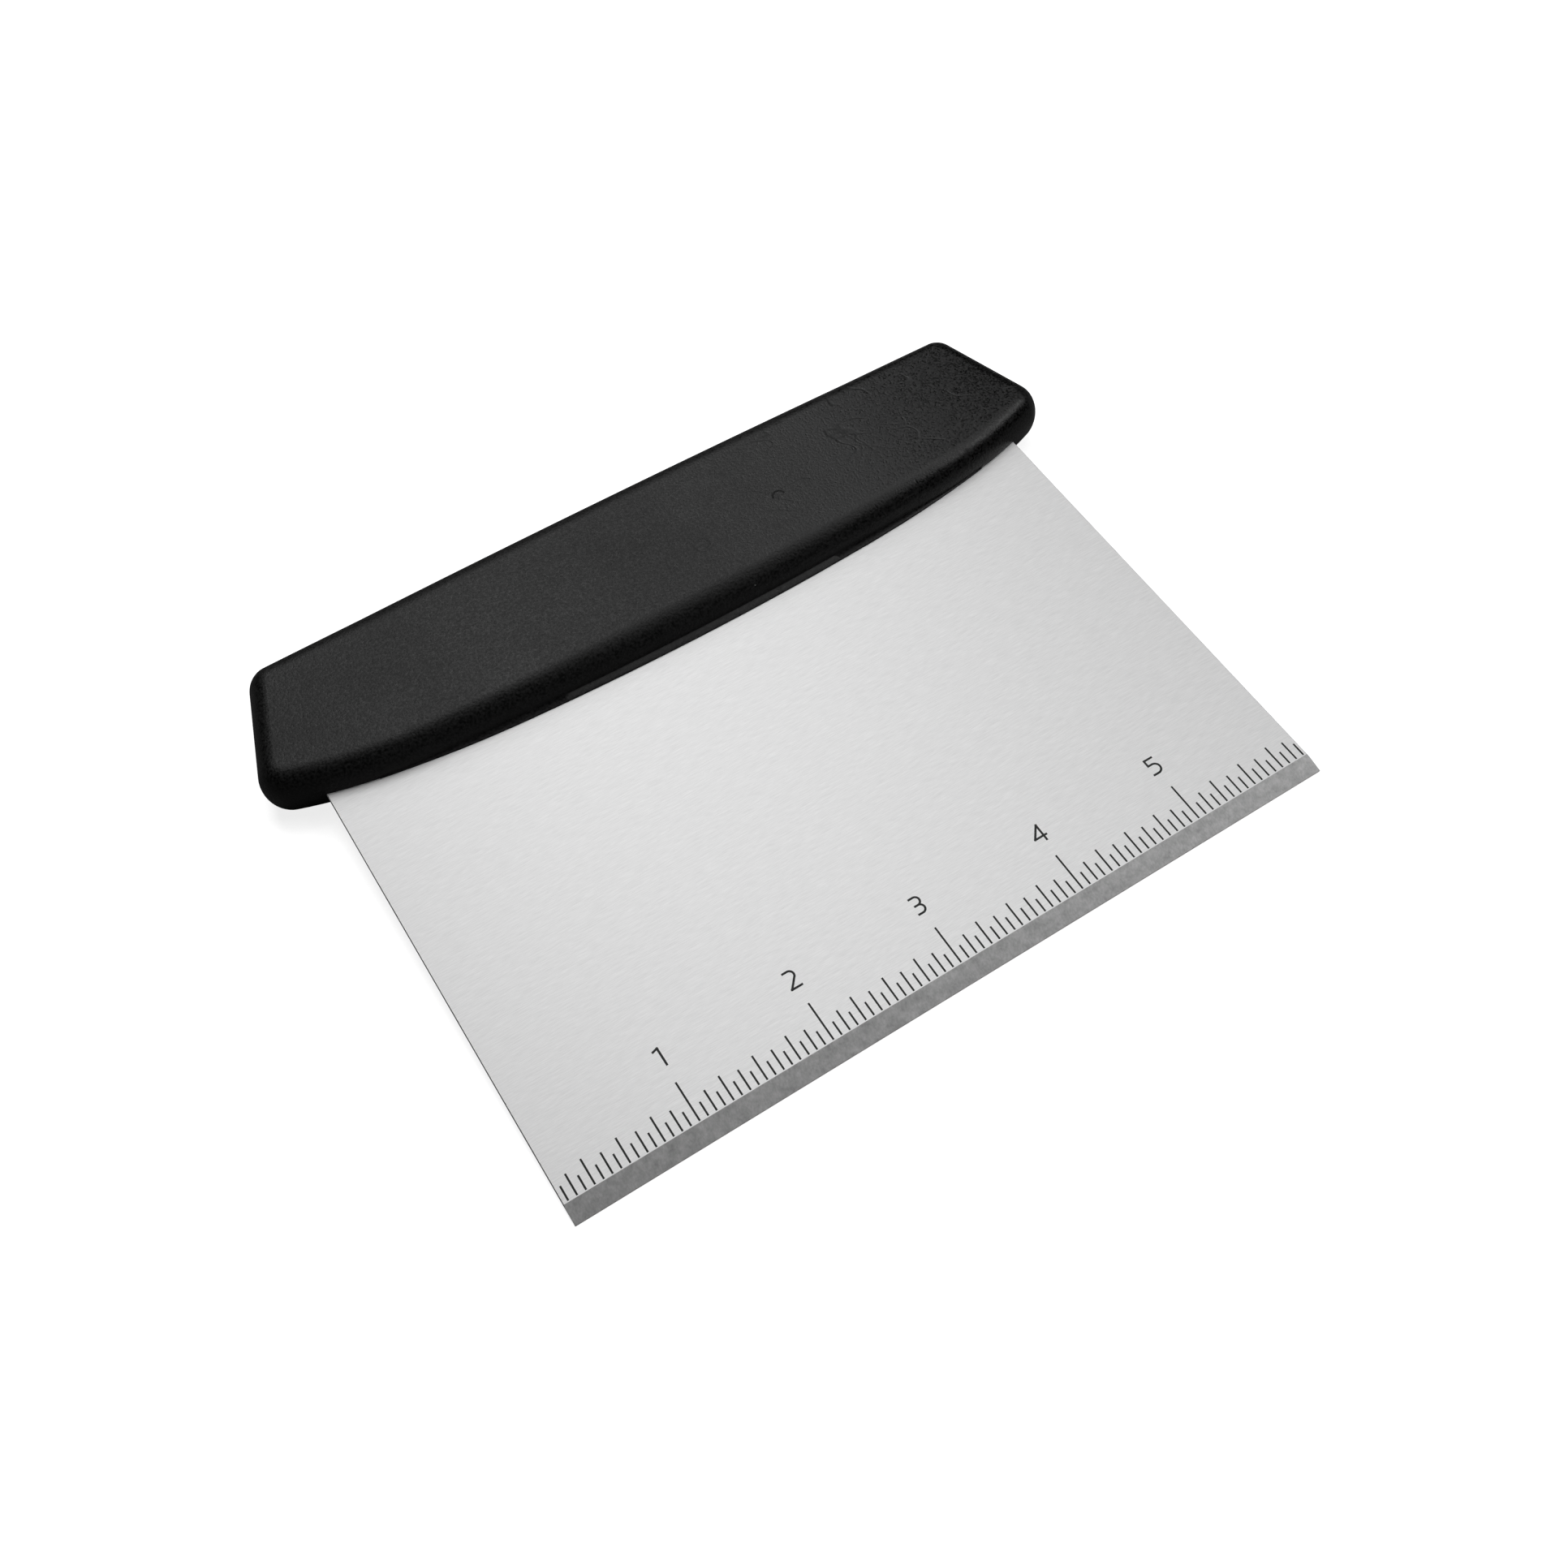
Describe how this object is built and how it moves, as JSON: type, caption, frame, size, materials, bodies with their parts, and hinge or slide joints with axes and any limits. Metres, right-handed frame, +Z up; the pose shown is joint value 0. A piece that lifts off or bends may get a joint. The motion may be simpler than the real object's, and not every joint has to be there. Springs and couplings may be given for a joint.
{
  "type": "bench scraper",
  "caption": "Wide flat steel blade with a ground front edge and a filled inch scale, held in a rounded matt black moulded handle along its back edge.",
  "frame": {"origin": "middle of the footprint on the table that the scraper lies on", "axes": "+X along the cutting edge, in the direction that the scale's numerals rise; +Y from the cutting edge towards the handle; +Z up from the table. The blade slopes up towards the handle by 3.4 degrees, because the cutting edge and the handle's underside both touch the table."},
  "size_m": [0.1698, 0.122, 0.0135],
  "materials": {
    "blade_steel": "fine brushed along the cutting edge, with a matt ground bevel",
    "handle_plastic": "black, fine spark-eroded grain",
    "scale_paint": "dark grey filling in shallow grooves"
  },
  "bodies": {
    "root": {"blade": "blade_steel", "handle": "handle_plastic", "scale_filling": "scale_paint"}
  },
  "joints": []
}
